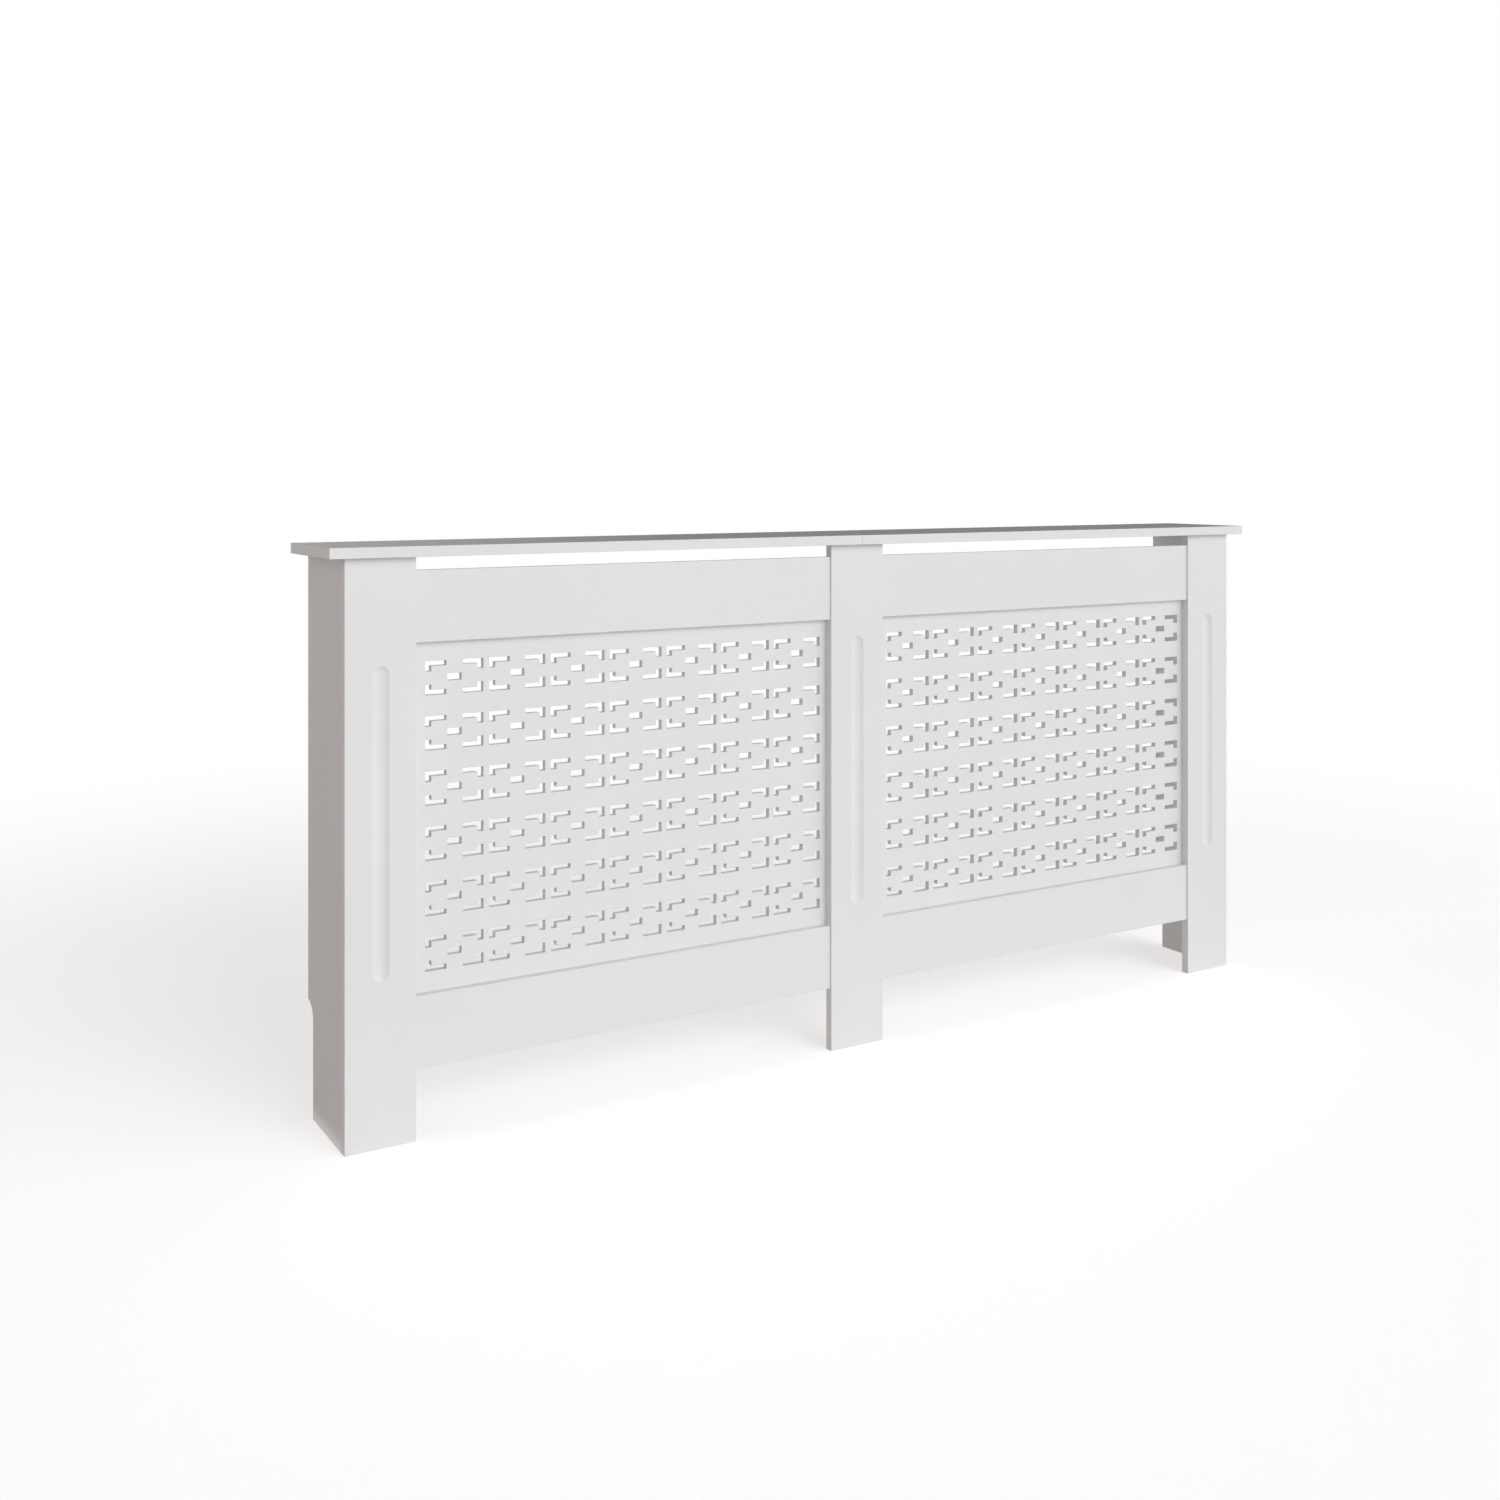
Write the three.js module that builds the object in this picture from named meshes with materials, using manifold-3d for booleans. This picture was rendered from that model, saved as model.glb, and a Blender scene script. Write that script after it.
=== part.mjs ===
// Radiator cover cabinet in white painted MDF. Three posts and four rails frame two fretwork
// panels; side panels with a skirting notch stand behind the end posts, and a shelf in two halves
// lies on top. The back is open, because it stands against the wall that carries the radiator.
// Millimetres, +Z up. X runs along the front and -Y faces the room. The origin is on the floor,
// in the middle of the cabinet's width and depth.
import * as THREE from 'three';
import { mergeGeometries, mergeVertices } from 'three/addons/utils/BufferGeometryUtils.js';
import Module from 'manifold-3d';

const wasm = await Module();
wasm.setup();

// Shelf, which sets the overall width, depth and height.
const SHELF_WIDTH = 1720;
const SHELF_DEPTH = 190;
const SHELF_TOP_HEIGHT = 820;
const SHELF_THICKNESS = 15;
const SHELF_END_OVERHANG = 25;
const SHELF_FRONT_OVERHANG = 15;

// Posts, each with one round-bottomed flute down the middle of its face.
const POST_WIDTH = 100;
const POST_THICKNESS = 15;
const FLUTE_WIDTH = 24;
const FLUTE_DEPTH = 3.5;
const FLUTE_LENGTH = 430;

// Rails, flush with the backs of the posts.
const RAIL_HEIGHT = 100;
const RAIL_THICKNESS = 12;
const TOP_VENT_HEIGHT = 19;
const FOOT_GAP_HEIGHT = 99;

// Side panels, notched at the bottom back corner to clear a skirting board.
const SIDE_THICKNESS = 15;
const NOTCH_DEPTH = 25;
const NOTCH_HEIGHT = 165;
const NOTCH_RADIUS = 25;

// Fretwork panels, glued to the backs of the posts and rails.
const FRETWORK_THICKNESS = 10;
const FRETWORK_POST_LAP = 20;
const FRETWORK_RAIL_LAP = 30;

// Fretwork motif: four L-shaped corner cuts around one short slot.
const MOTIF_WIDTH = 86;
const MOTIF_HEIGHT = 47.5;
const MOTIF_COLUMN_GAP = 8.8;
const MOTIF_ROW_GAP = 29.3;
const MOTIF_SHIFT = 3;
const MOTIF_SIDE_MARGIN = 10;
const MOTIF_RAIL_MARGIN = 25;
const STROKE_LENGTH = 31;
const STROKE_HEIGHT = 7;
const LEG_WIDTH = 9;
const LEG_HEIGHT = 14.5;
const SLOT_WIDTH = 21;
const SLOT_HEIGHT = 10;

// Beech dowels in blind bores.
const RAIL_DOWEL_DIAMETER = 6;
const RAIL_DOWEL_GRIP = 15;
const RAIL_DOWEL_INSET = 25;
const PANEL_DOWEL_DIAMETER = 8;
const PANEL_DOWEL_GRIP = 20;
const PANEL_DOWEL_INSET = 60;
const PANEL_DOWEL_COUNT = 3;
const SHELF_DOWEL_SETBACK = 30;
const DOWEL_CHAMFER = 1;
const BLIND_WALL = 5;
const BORE_SIDE_CLEARANCE = 0.3;
const BORE_END_CLEARANCE = 0.5;

// Steel angle brackets, joining plates and pan-head screws.
const BRACKET_LEG = 25;
const BRACKET_WIDTH = 16;
const BRACKET_THICKNESS = 2;
const BRACKET_BEND_RADIUS = 2;
const BRACKET_HOLE_OFFSET = 15;
const SHELF_BRACKET_SETBACK = 60;
const POST_BRACKET_OFFSET = 15;
const WALL_BRACKET_DROP = 75;
const WALL_HOLE_DIAMETER = 5;
const PLATE_LENGTH = 80;
const PLATE_WIDTH = 20;
const PLATE_HOLE_OFFSET = 28;
const PLATE_FRONT_SETBACK = 65;
const PLATE_BACK_SETBACK = 145;
const SCREW_DIAMETER = 4;
const SCREW_TIP_LENGTH = 3;
const SCREW_HEAD_DIAMETER = 8;
const SCREW_HEAD_HEIGHT = 2.4;
const SCREW_HEAD_CROWN = 1;

// Fineness of the round shapes.
const ROUND_SIDES = 10;
const FLUTE_SIDES = 32;
const FLUTE_END_STEPS = 6;
const ARC_STEPS = 8;
const BEND_STEPS = 3;
const MERGE_DISTANCE = 1e-4;
const CUT_OVERSHOOT = 1;

// Planes and edges that the boards share.
const shelfFront = -SHELF_DEPTH / 2;
const wallPlane = SHELF_DEPTH / 2;
const shelfUnderside = SHELF_TOP_HEIGHT - SHELF_THICKNESS;
const postFront = shelfFront + SHELF_FRONT_OVERHANG;
const postBack = postFront + POST_THICKNESS;
const bodyHalfWidth = SHELF_WIDTH / 2 - SHELF_END_OVERHANG;
const sideInnerFace = bodyHalfWidth - SIDE_THICKNESS;
const bayInner = POST_WIDTH / 2;
const bayOuter = bodyHalfWidth - POST_WIDTH;
const bayWidth = bayOuter - bayInner;
const bayCentre = (bayInner + bayOuter) / 2;
const openingBottom = FOOT_GAP_HEIGHT + RAIL_HEIGHT;
const topRailBottom = shelfUnderside - TOP_VENT_HEIGHT - RAIL_HEIGHT;
const openingHeight = topRailBottom - openingBottom;
const openingCentre = openingBottom + openingHeight / 2;
const railMiddle = postBack - RAIL_THICKNESS / 2;
const sideMiddle = bodyHalfWidth - SIDE_THICKNESS / 2;
const thinnestBoard = Math.min(SHELF_THICKNESS, SIDE_THICKNESS, POST_THICKNESS);
const screwLength = BRACKET_THICKNESS + thinnestBoard - BLIND_WALL;
const sides = [{ word: 'left', sign: -1 }, { word: 'right', sign: 1 }];

const axisX = new THREE.Vector3(1, 0, 0);
const axisY = new THREE.Vector3(0, 1, 0);
const axisZ = new THREE.Vector3(0, 0, 1);

const paintedMdf = { color: 0xe6e5e6, roughness: 0.45, metalness: 0 };
const beech = { color: 0xc9a272, roughness: 0.7, metalness: 0 };
const zincPlatedSteel = { color: 0xb9bbbd, roughness: 0.35, metalness: 0.9 };

const cabinet = new THREE.Group();
cabinet.name = 'radiator_cover';

// Adds one named piece with a material of its own and returns it.
function addPiece(name, geometry, finish, x, y, z) {
  const material = new THREE.MeshStandardMaterial({ ...finish, flatShading: true });
  const mesh = new THREE.Mesh(geometry, material);
  mesh.name = name;
  mesh.position.set(x, y, z);
  cabinet.add(mesh);
  return mesh;
}

// Turns a closed geometry into a solid that can be cut.
function toSolid(geometry) {
  const bare = geometry.clone();
  bare.deleteAttribute('normal');
  bare.deleteAttribute('uv');
  const merged = mergeVertices(bare, MERGE_DISTANCE);
  const corners = merged.index.array;
  const triangles = [];
  for (let i = 0; i < corners.length; i += 3) {
    const [a, b, c] = corners.slice(i, i + 3);
    if (a !== b && b !== c && c !== a) triangles.push(a, b, c);
  }
  const vertProperties = merged.attributes.position.array;
  const triVerts = new Uint32Array(triangles);
  return new wasm.Manifold(new wasm.Mesh({ numProp: 3, vertProperties, triVerts }));
}

// Turns a solid back into a geometry.
function toGeometry(solid) {
  const { vertProperties, triVerts } = solid.getMesh();
  const geometry = new THREE.BufferGeometry();
  geometry.setAttribute('position', new THREE.BufferAttribute(vertProperties, 3));
  geometry.setIndex(new THREE.BufferAttribute(triVerts, 1));
  geometry.computeVertexNormals();
  return geometry;
}

// Cuts a placed piece with a solid that is given in the cabinet's own coordinates.
function cutPiece(mesh, cutter) {
  mesh.updateMatrix();
  const placed = mesh.geometry.clone().applyMatrix4(mesh.matrix);
  const remaining = toSolid(placed).subtract(cutter);
  mesh.geometry = toGeometry(remaining).applyMatrix4(mesh.matrix.clone().invert());
}

// Turns a round geometry, built along its own Y, so that it runs along the given axis.
function runAlong(geometry, axis) {
  const across = new THREE.Vector3(axis.y, axis.z, axis.x);
  const third = across.clone().cross(axis);
  return geometry.applyMatrix4(new THREE.Matrix4().makeBasis(across, axis, third));
}

// A rectangular board between two opposite corners.
function addBoard(name, low, high) {
  const size = high.clone().sub(low);
  const middle = low.clone().add(high).multiplyScalar(0.5);
  const geometry = new THREE.BoxGeometry(size.x, size.y, size.z);
  return addPiece(name, geometry, paintedMdf, middle.x, middle.y, middle.z);
}

// ---- Fixings: every dowel and screw also leaves the bore that it sits in. ----

const bores = [];

// A bore from a start point along an axis, which cuts every piece that it passes through.
function addBore(start, axis, length, diameter) {
  const geometry = new THREE.CylinderGeometry(diameter / 2, diameter / 2, length, ROUND_SIDES);
  const middle = start.clone().addScaledVector(axis, length / 2);
  bores.push(toSolid(runAlong(geometry, axis).translate(middle.x, middle.y, middle.z)));
}

// A dowel with chamfered ends, from a start point along an axis.
function addDowel(name, start, axis, length, diameter) {
  const radius = diameter / 2;
  const profile = [
    new THREE.Vector2(0, 0),
    new THREE.Vector2(radius - DOWEL_CHAMFER, 0),
    new THREE.Vector2(radius, DOWEL_CHAMFER),
    new THREE.Vector2(radius, length - DOWEL_CHAMFER),
    new THREE.Vector2(radius - DOWEL_CHAMFER, length),
    new THREE.Vector2(0, length),
  ];
  const geometry = runAlong(new THREE.LatheGeometry(profile, ROUND_SIDES), axis);
  addPiece(name, geometry, beech, start.x, start.y, start.z);
  const boreStart = start.clone().addScaledVector(axis, -BORE_END_CLEARANCE);
  addBore(boreStart, axis, length + 2 * BORE_END_CLEARANCE, diameter + 2 * BORE_SIDE_CLEARANCE);
}

// A pan-head screw whose head rests at the seat point, and whose point goes along the axis.
function addScrew(name, seat, axis) {
  const radius = SCREW_DIAMETER / 2;
  const headRadius = SCREW_HEAD_DIAMETER / 2;
  const profile = [
    new THREE.Vector2(0, -SCREW_HEAD_HEIGHT),
    new THREE.Vector2(headRadius - SCREW_HEAD_CROWN, -SCREW_HEAD_HEIGHT),
    new THREE.Vector2(headRadius, SCREW_HEAD_CROWN - SCREW_HEAD_HEIGHT),
    new THREE.Vector2(headRadius, 0),
    new THREE.Vector2(radius, 0),
    new THREE.Vector2(radius, screwLength - SCREW_TIP_LENGTH),
    new THREE.Vector2(0, screwLength),
  ];
  const geometry = runAlong(new THREE.LatheGeometry(profile, ROUND_SIDES), axis);
  addPiece(name, geometry, zincPlatedSteel, seat.x, seat.y, seat.z);
  const boreStart = seat.clone().addScaledVector(axis, -CUT_OVERSHOOT);
  const boreLength = CUT_OVERSHOOT + screwLength + BORE_END_CLEARANCE;
  addBore(boreStart, axis, boreLength, SCREW_DIAMETER + 2 * BORE_SIDE_CLEARANCE);
}

// ---- Shelf: two halves butted over the centre post. ----

function addShelf() {
  const front = new THREE.Vector3(0, shelfFront, shelfUnderside);
  const leftEnd = front.clone().setX(-SHELF_WIDTH / 2);
  const middleBack = new THREE.Vector3(0, wallPlane, SHELF_TOP_HEIGHT);
  const rightEnd = middleBack.clone().setX(SHELF_WIDTH / 2);
  return [addBoard('shelf_left', leftEnd, middleBack), addBoard('shelf_right', front, rightEnd)];
}

// ---- Posts: floor to shelf, with a flute cut as a round-nosed cutter leaves it. ----

function addPost(name, middleX) {
  const low = new THREE.Vector3(middleX - POST_WIDTH / 2, postFront, 0);
  const high = new THREE.Vector3(middleX + POST_WIDTH / 2, postBack, shelfUnderside);
  const post = addBoard(name, low, high);
  const noseRadius = (FLUTE_WIDTH ** 2 / 4 + FLUTE_DEPTH ** 2) / (2 * FLUTE_DEPTH);
  const straight = FLUTE_LENGTH - FLUTE_WIDTH;
  const nose = new THREE.CapsuleGeometry(noseRadius, straight, FLUTE_END_STEPS, FLUTE_SIDES);
  const noseY = postFront + FLUTE_DEPTH - noseRadius;
  cutPiece(post, toSolid(runAlong(nose, axisZ).translate(middleX, noseY, openingCentre)));
  return post;
}

// ---- Side panels: butted behind the end posts, back to the wall. ----

function addSidePanel(word, sign) {
  const innerX = sign * sideInnerFace;
  const outerX = sign * bodyHalfWidth;
  const low = new THREE.Vector3(Math.min(innerX, outerX), postBack, 0);
  const high = new THREE.Vector3(Math.max(innerX, outerX), wallPlane, shelfUnderside);
  const panel = addBoard(`side_panel_${word}`, low, high);

  const notchFront = wallPlane - NOTCH_DEPTH;
  const radius = Math.min(NOTCH_RADIUS, NOTCH_DEPTH, NOTCH_HEIGHT);
  const outline = new THREE.Shape();
  outline.moveTo(notchFront, -CUT_OVERSHOOT);
  outline.lineTo(wallPlane + CUT_OVERSHOOT, -CUT_OVERSHOOT);
  outline.lineTo(wallPlane + CUT_OVERSHOOT, NOTCH_HEIGHT);
  outline.absarc(notchFront + radius, NOTCH_HEIGHT - radius, radius, Math.PI / 2, Math.PI);
  const depth = SIDE_THICKNESS + 2 * CUT_OVERSHOOT;
  const options = { depth, bevelEnabled: false, curveSegments: ARC_STEPS };
  const notch = new THREE.ExtrudeGeometry(outline, options);
  notch.applyMatrix4(new THREE.Matrix4().makeBasis(axisY, axisZ, axisX));
  cutPiece(panel, toSolid(notch.translate(low.x - CUT_OVERSHOOT, 0, 0)));
  return panel;
}

// ---- Rails: one above and one below each fretwork panel. ----

function addRail(name, sign, bottom) {
  const nearX = sign * bayInner;
  const farX = sign * bayOuter;
  const low = new THREE.Vector3(Math.min(nearX, farX), postBack - RAIL_THICKNESS, bottom);
  const high = new THREE.Vector3(Math.max(nearX, farX), postBack, bottom + RAIL_HEIGHT);
  return addBoard(name, low, high);
}

// Two dowels in each end of a rail, half in the rail and half in the post beside it.
function addRailDowels(railName, sign, bottom) {
  const ends = [{ word: 'inner', x: sign * bayInner }, { word: 'outer', x: sign * bayOuter }];
  const levels = [
    { word: 'lower', z: bottom + RAIL_DOWEL_INSET },
    { word: 'upper', z: bottom + RAIL_HEIGHT - RAIL_DOWEL_INSET },
  ];
  for (const end of ends) {
    for (const level of levels) {
      const start = new THREE.Vector3(end.x - RAIL_DOWEL_GRIP, railMiddle, level.z);
      const name = `${railName}_dowel_${end.word}_${level.word}`;
      addDowel(name, start, axisX, 2 * RAIL_DOWEL_GRIP, RAIL_DOWEL_DIAMETER);
    }
  }
}

// ---- Fretwork: one board for each bay, cut with rows of the motif. ----

// The outline of an L-shaped cut, from the motif's corner inwards.
function cornerOutline(cornerX, cornerY, inwardX, inwardY) {
  const outline = new THREE.Shape();
  outline.moveTo(cornerX, cornerY);
  outline.lineTo(cornerX + inwardX * STROKE_LENGTH, cornerY);
  outline.lineTo(cornerX + inwardX * STROKE_LENGTH, cornerY + inwardY * STROKE_HEIGHT);
  outline.lineTo(cornerX + inwardX * LEG_WIDTH, cornerY + inwardY * STROKE_HEIGHT);
  outline.lineTo(cornerX + inwardX * LEG_WIDTH, cornerY + inwardY * LEG_HEIGHT);
  outline.lineTo(cornerX, cornerY + inwardY * LEG_HEIGHT);
  return outline;
}

// The outline of the short slot in the middle of the motif.
function slotOutline() {
  const outline = new THREE.Shape();
  outline.moveTo(-SLOT_WIDTH / 2, -SLOT_HEIGHT / 2);
  outline.lineTo(SLOT_WIDTH / 2, -SLOT_HEIGHT / 2);
  outline.lineTo(SLOT_WIDTH / 2, SLOT_HEIGHT / 2);
  outline.lineTo(-SLOT_WIDTH / 2, SLOT_HEIGHT / 2);
  return outline;
}

// The cutter of one motif, which goes right through the board.
function motifCutter() {
  const outlines = [slotOutline()];
  for (const across of [-1, 1]) {
    for (const up of [-1, 1]) {
      outlines.push(cornerOutline(across * MOTIF_WIDTH / 2, up * MOTIF_HEIGHT / 2, -across, -up));
    }
  }
  const depth = FRETWORK_THICKNESS + 2 * CUT_OVERSHOOT;
  const cutter = new THREE.ExtrudeGeometry(outlines, { depth, bevelEnabled: false });
  return cutter.applyMatrix4(new THREE.Matrix4().makeBasis(axisX, axisZ, axisY.clone().negate()));
}

// As many motifs as the length holds between its margins.
function motifCount(length, margin, pitch, gap) {
  return Math.max(1, Math.floor((length - 2 * margin + gap) / pitch));
}

function addFretwork(word, sign) {
  const halfWidth = bayWidth / 2 + FRETWORK_POST_LAP;
  const halfHeight = openingHeight / 2 + FRETWORK_RAIL_LAP;
  const back = postBack + FRETWORK_THICKNESS;
  const middleX = sign * bayCentre;
  const low = new THREE.Vector3(middleX - halfWidth, postBack, openingCentre - halfHeight);
  const high = new THREE.Vector3(middleX + halfWidth, back, openingCentre + halfHeight);
  const board = addBoard(`fretwork_${word}`, low, high);

  const columnPitch = MOTIF_WIDTH + MOTIF_COLUMN_GAP;
  const rowPitch = MOTIF_HEIGHT + MOTIF_ROW_GAP;
  const columns = motifCount(bayWidth, MOTIF_SIDE_MARGIN, columnPitch, MOTIF_COLUMN_GAP);
  const rows = motifCount(openingHeight, MOTIF_RAIL_MARGIN, rowPitch, MOTIF_ROW_GAP);
  const cutters = [];
  for (let column = 0; column < columns; column += 1) {
    const x = middleX + MOTIF_SHIFT + (column - (columns - 1) / 2) * columnPitch;
    for (let row = 0; row < rows; row += 1) {
      const z = openingCentre + (row - (rows - 1) / 2) * rowPitch;
      cutters.push(motifCutter().translate(x, back + CUT_OVERSHOOT, z));
    }
  }
  cutPiece(board, toSolid(mergeGeometries(cutters)));
}

// ---- Dowels that locate the side panels and the shelf. ----

function addPanelDowels(word, sign) {
  const intoPost = POST_THICKNESS - BLIND_WALL;
  const rise = (shelfUnderside - 2 * PANEL_DOWEL_INSET) / (PANEL_DOWEL_COUNT - 1);
  for (let i = 0; i < PANEL_DOWEL_COUNT; i += 1) {
    const height = PANEL_DOWEL_INSET + i * rise;
    const start = new THREE.Vector3(sign * sideMiddle, postBack - intoPost, height);
    const length = intoPost + PANEL_DOWEL_GRIP;
    addDowel(`side_panel_${word}_dowel_${i + 1}`, start, axisY, length, PANEL_DOWEL_DIAMETER);
  }
}

function addShelfDowel(word, sign) {
  const intoShelf = SHELF_THICKNESS - BLIND_WALL;
  const bottom = shelfUnderside - PANEL_DOWEL_GRIP;
  const start = new THREE.Vector3(sign * sideMiddle, wallPlane - SHELF_DOWEL_SETBACK, bottom);
  const length = PANEL_DOWEL_GRIP + intoShelf;
  addDowel(`shelf_dowel_${word}`, start, axisZ, length, PANEL_DOWEL_DIAMETER);
}

// ---- Angle brackets: bent strip, with its outer corner at the corner of two boards. ----

function bracketGeometry(firstLeg, secondLeg) {
  const inner = BRACKET_THICKNESS + BRACKET_BEND_RADIUS;
  const outline = new THREE.Shape();
  outline.moveTo(0, 0);
  outline.lineTo(BRACKET_LEG, 0);
  outline.lineTo(BRACKET_LEG, BRACKET_THICKNESS);
  outline.absarc(inner, inner, BRACKET_BEND_RADIUS, -Math.PI / 2, -Math.PI, true);
  outline.lineTo(BRACKET_THICKNESS, BRACKET_LEG);
  outline.lineTo(0, BRACKET_LEG);
  const options = { depth: BRACKET_WIDTH, bevelEnabled: false, curveSegments: BEND_STEPS };
  const geometry = new THREE.ExtrudeGeometry(outline, options);
  geometry.translate(0, 0, -BRACKET_WIDTH / 2);
  const third = firstLeg.clone().cross(secondLeg);
  return geometry.applyMatrix4(new THREE.Matrix4().makeBasis(firstLeg, secondLeg, third));
}

function addBracket(name, corner, firstLeg, secondLeg) {
  const geometry = bracketGeometry(firstLeg, secondLeg);
  return addPiece(name, geometry, zincPlatedSteel, corner.x, corner.y, corner.z);
}

// The point on a bracket leg's open face where a screw's head rests.
function bracketSeat(corner, leg, otherLeg) {
  const seat = corner.clone().addScaledVector(leg, BRACKET_HOLE_OFFSET);
  return seat.addScaledVector(otherLeg, BRACKET_THICKNESS);
}

// A bracket under the shelf, with one screw up into the shelf and one into the upright board.
function addShelfBracket(name, corner, alongShelf) {
  const down = axisZ.clone().negate();
  const bracket = addBracket(name, corner, alongShelf, down);
  addScrew(`${name}_screw_shelf`, bracketSeat(corner, alongShelf, down), axisZ);
  addScrew(`${name}_screw_board`, bracketSeat(corner, down, alongShelf), alongShelf.clone().negate());
  return bracket;
}

// A bracket behind a side panel's back edge, with an open hole for the wall's own screw.
function addWallBracket(word, sign) {
  const inward = axisX.clone().multiplyScalar(-sign);
  const forward = axisY.clone().negate();
  const height = shelfUnderside - WALL_BRACKET_DROP;
  const corner = new THREE.Vector3(sign * sideInnerFace, wallPlane, height);
  const name = `wall_bracket_${word}`;
  const bracket = addBracket(name, corner, inward, forward);
  addScrew(`${name}_screw`, bracketSeat(corner, forward, inward), inward.clone().negate());
  const holeStart = bracketSeat(corner, inward, forward).addScaledVector(forward, CUT_OVERSHOOT);
  const holeLength = BRACKET_THICKNESS + 2 * CUT_OVERSHOOT;
  addBore(holeStart, axisY, holeLength, WALL_HOLE_DIAMETER);
  return bracket;
}

// ---- Joining plates: flat strips across the shelf's seam, under it. ----

function addJoiningPlate(word, setback) {
  const name = `joining_plate_${word}`;
  const y = postFront + setback;
  const z = shelfUnderside - BRACKET_THICKNESS / 2;
  const geometry = new THREE.BoxGeometry(PLATE_LENGTH, PLATE_WIDTH, BRACKET_THICKNESS);
  const plate = addPiece(name, geometry, zincPlatedSteel, 0, y, z);
  for (const { word: side, sign } of sides) {
    const seat = new THREE.Vector3(sign * PLATE_HOLE_OFFSET, y, shelfUnderside - BRACKET_THICKNESS);
    addScrew(`${name}_screw_${side}`, seat, axisZ);
  }
  return plate;
}

// ---- Assembly ----

const boredPieces = [...addShelf(), addPost('centre_post', 0)];

for (const { word, sign } of sides) {
  boredPieces.push(addPost(`end_post_${word}`, sign * (bodyHalfWidth - POST_WIDTH / 2)));
  boredPieces.push(addSidePanel(word, sign));
  boredPieces.push(addRail(`top_rail_${word}`, sign, topRailBottom));
  boredPieces.push(addRail(`bottom_rail_${word}`, sign, FOOT_GAP_HEIGHT));
  addFretwork(word, sign);
  addRailDowels(`top_rail_${word}`, sign, topRailBottom);
  addRailDowels(`bottom_rail_${word}`, sign, FOOT_GAP_HEIGHT);
  addPanelDowels(word, sign);
  addShelfDowel(word, sign);

  const inward = axisX.clone().multiplyScalar(-sign);
  const bracketY = postFront + SHELF_BRACKET_SETBACK;
  const sideCorner = new THREE.Vector3(sign * sideInnerFace, bracketY, shelfUnderside);
  boredPieces.push(addShelfBracket(`shelf_bracket_${word}`, sideCorner, inward));
  const postCorner = new THREE.Vector3(sign * POST_BRACKET_OFFSET, postBack, shelfUnderside);
  boredPieces.push(addShelfBracket(`post_bracket_${word}`, postCorner, axisY.clone()));
  boredPieces.push(addWallBracket(word, sign));
}

boredPieces.push(addJoiningPlate('front', PLATE_FRONT_SETBACK));
boredPieces.push(addJoiningPlate('back', PLATE_BACK_SETBACK));

const allBores = bores.reduce((joined, bore) => joined.add(bore));
for (const piece of boredPieces) cutPiece(piece, allBores);

export default cabinet;
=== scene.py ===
"""Radiator cover cabinet in white painted MDF: its finishes, its studio and its camera.

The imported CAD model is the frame. Metres, +Z up. X runs along the front, -Y faces the room and
+Y the wall, and the origin is on the floor, in the middle of the cabinet's width and depth.
"""

import math

import bmesh
import bpy
from mathutils import Matrix, Vector
from mathutils.bvhtree import BVHTree


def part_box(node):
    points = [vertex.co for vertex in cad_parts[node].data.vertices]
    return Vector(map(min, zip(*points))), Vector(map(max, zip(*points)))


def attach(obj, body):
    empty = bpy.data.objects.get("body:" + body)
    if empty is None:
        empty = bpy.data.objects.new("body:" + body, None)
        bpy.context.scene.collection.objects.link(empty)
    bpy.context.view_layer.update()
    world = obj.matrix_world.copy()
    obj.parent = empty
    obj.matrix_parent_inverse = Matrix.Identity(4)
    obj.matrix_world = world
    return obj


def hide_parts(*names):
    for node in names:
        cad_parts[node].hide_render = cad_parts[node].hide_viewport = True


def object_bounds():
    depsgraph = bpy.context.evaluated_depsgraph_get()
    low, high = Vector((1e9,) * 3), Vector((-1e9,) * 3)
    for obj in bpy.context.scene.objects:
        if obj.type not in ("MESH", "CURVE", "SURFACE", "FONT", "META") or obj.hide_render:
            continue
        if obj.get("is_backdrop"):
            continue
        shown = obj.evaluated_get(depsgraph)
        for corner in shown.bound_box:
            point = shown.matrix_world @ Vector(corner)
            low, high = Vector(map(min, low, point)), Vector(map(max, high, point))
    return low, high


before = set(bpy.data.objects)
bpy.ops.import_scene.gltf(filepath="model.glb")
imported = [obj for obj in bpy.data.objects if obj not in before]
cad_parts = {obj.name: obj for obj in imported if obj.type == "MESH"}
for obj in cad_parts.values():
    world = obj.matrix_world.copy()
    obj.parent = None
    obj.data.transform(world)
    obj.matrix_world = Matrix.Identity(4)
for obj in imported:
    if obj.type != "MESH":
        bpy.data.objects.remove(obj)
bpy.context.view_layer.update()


# ---- Posts ------------------------------------------------------------------------------------
# Three upright MDF boards, floor to shelf. A round-nosed router leaves one flute in each face, the
# arrises are sanded by hand, and the whole board is sprayed with white satin paint.

MM = 0.001

# Each post, with the side panels that are glued to its back.
POST_NEIGHBOURS = {
    "end_post_left": ["side_panel_left"],
    "centre_post": [],
    "end_post_right": ["side_panel_right"],
}
JOINT_GAP = 0.05 * MM  # boards this near to each other are glued
FLUTE_WIDTH = 24 * MM
FLUTE_DEPTH = 3.5 * MM
FLUTE_LENGTH = 430 * MM
FLUTE_SIDES = 96
FLUTE_CLEARANCE = 0.03 * MM  # the hair that the cutter goes deeper than the CAD model's flute
BOARD_ARRIS = 0.6 * MM
ARRIS_STEPS = 4
ARRIS_PROFILE = 0.5  # a quarter circle
ARRIS_SHORTEST = 2.3 * MM  # the facets' edges round a screw hole are shorter
ARRIS_ANGLE = math.radians(60)
SMOOTH_ANGLE = math.radians(26)
FLAT_ANGLE = math.radians(0.5)
WELD_DISTANCE = 0.001 * MM
AXIS_X = Vector((1, 0, 0))
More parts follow.
